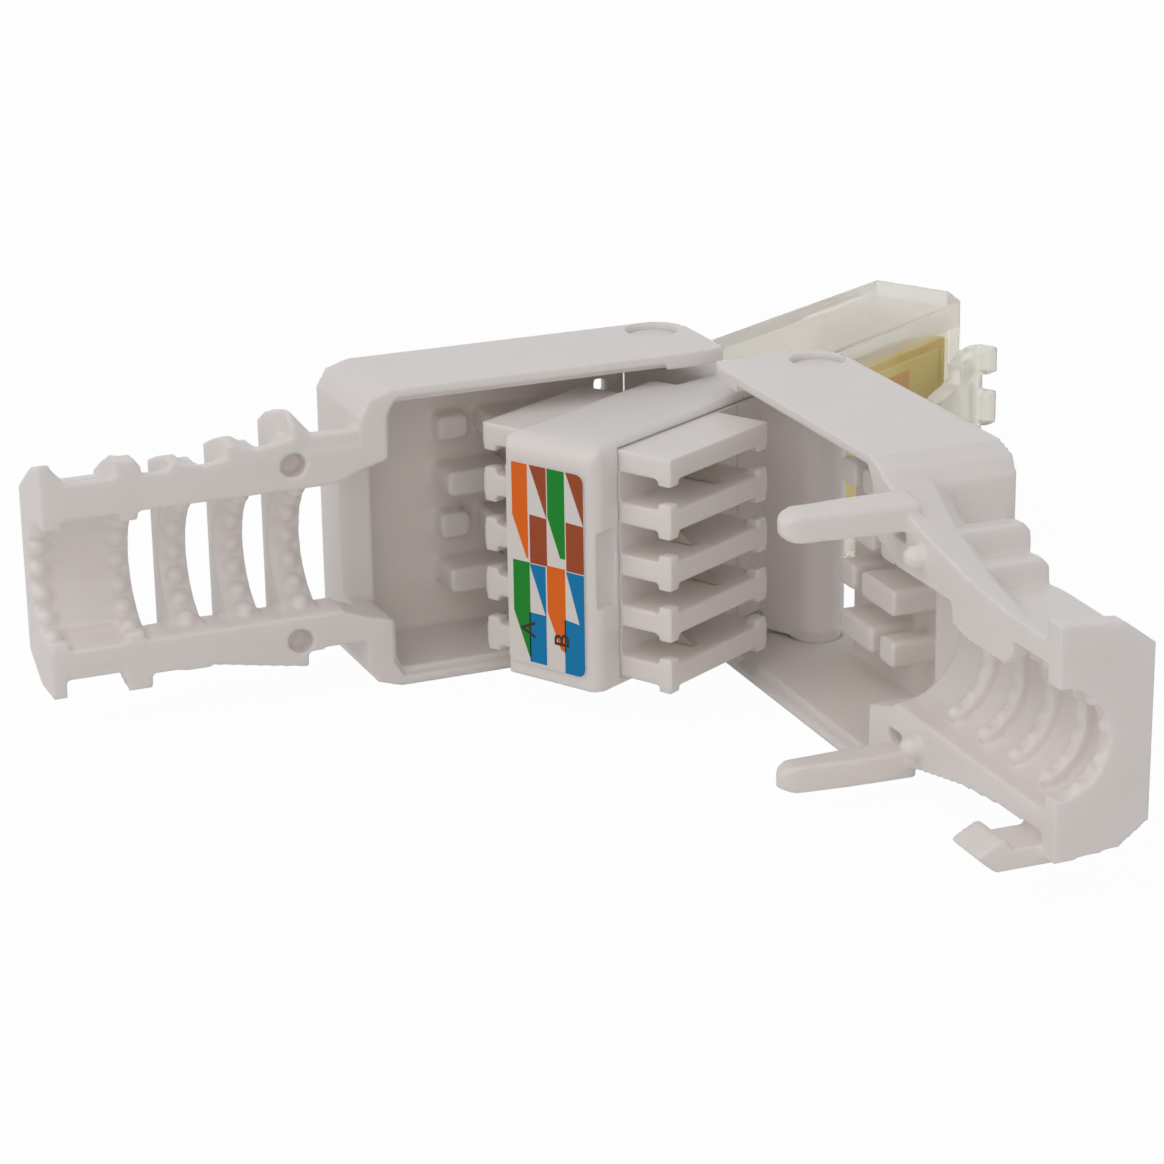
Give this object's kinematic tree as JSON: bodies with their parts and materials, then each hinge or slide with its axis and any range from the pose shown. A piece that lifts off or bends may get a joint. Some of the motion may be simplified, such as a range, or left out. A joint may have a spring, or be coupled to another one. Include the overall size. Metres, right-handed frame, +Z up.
{
  "type": "modular network plug",
  "caption": "Toolless modular network plug with hinged clamshell covers standing open round a wire comb, a clear contact nose with a latch, and a clamping cable tail.",
  "frame": {"origin": "the middle of the open plug's outline, on the surface that it stands on", "axes": "+Y along the plug towards its contact end, +X across it, +Z up along both hinge pins"},
  "size_m": [0.0537, 0.0522, 0.015],
  "materials": {
    "white_plastic": "satin moulded",
    "clear_plastic": "clear moulded",
    "gold_contact": "gold plated",
    "tinned_bronze": "tin plated",
    "board_laminate": "laminate",
    "label_face": "printed paper"
  },
  "bodies": {
    "base": {"hinge_carrier": "white_plastic", "terminal_comb": "white_plastic", "rear_cap": "white_plastic", "wiring_label": "label_face", "plug_nose": "clear_plastic", "circuit_board": "board_laminate", "terminal_left_1": "tinned_bronze", "terminal_left_2": "tinned_bronze", "terminal_left_3": "tinned_bronze", "terminal_left_4": "tinned_bronze", "terminal_right_1": "tinned_bronze", "terminal_right_2": "tinned_bronze", "terminal_right_3": "tinned_bronze", "terminal_right_4": "tinned_bronze", "contact_1": "gold_contact", "contact_2": "gold_contact", "contact_3": "gold_contact", "contact_4": "gold_contact", "contact_5": "gold_contact", "contact_6": "gold_contact", "contact_7": "gold_contact", "contact_8": "gold_contact"},
    "ribbed": {"cover_ribbed": "white_plastic"},
    "hooked": {"cover_hooked": "white_plastic"},
    "latch": {"latch_lever": "clear_plastic"}
  },
  "joints": [
    {"name": "ribbed_cover_hinge", "type": "hinge", "parent": "base", "child": "ribbed", "pos_m": [-0.01145, 0.00519, 0.0075], "axis": [0, 0, 1], "range_deg": [-32.8, 29.2]},
    {"name": "hooked_cover_hinge", "type": "hinge", "parent": "base", "child": "hooked", "pos_m": [-0.00135, 0.00519, 0.0075], "axis": [0, 0, 1], "range_deg": [-59.4, 2.6]},
    {"name": "latch_flex", "type": "hinge", "parent": "base", "child": "latch", "pos_m": [-0.0051, 0.02455, 0.0075], "axis": [0, 0, 1], "range_deg": [-9, 0], "stiffness_Nm_per_rad": 0.3}
  ]
}
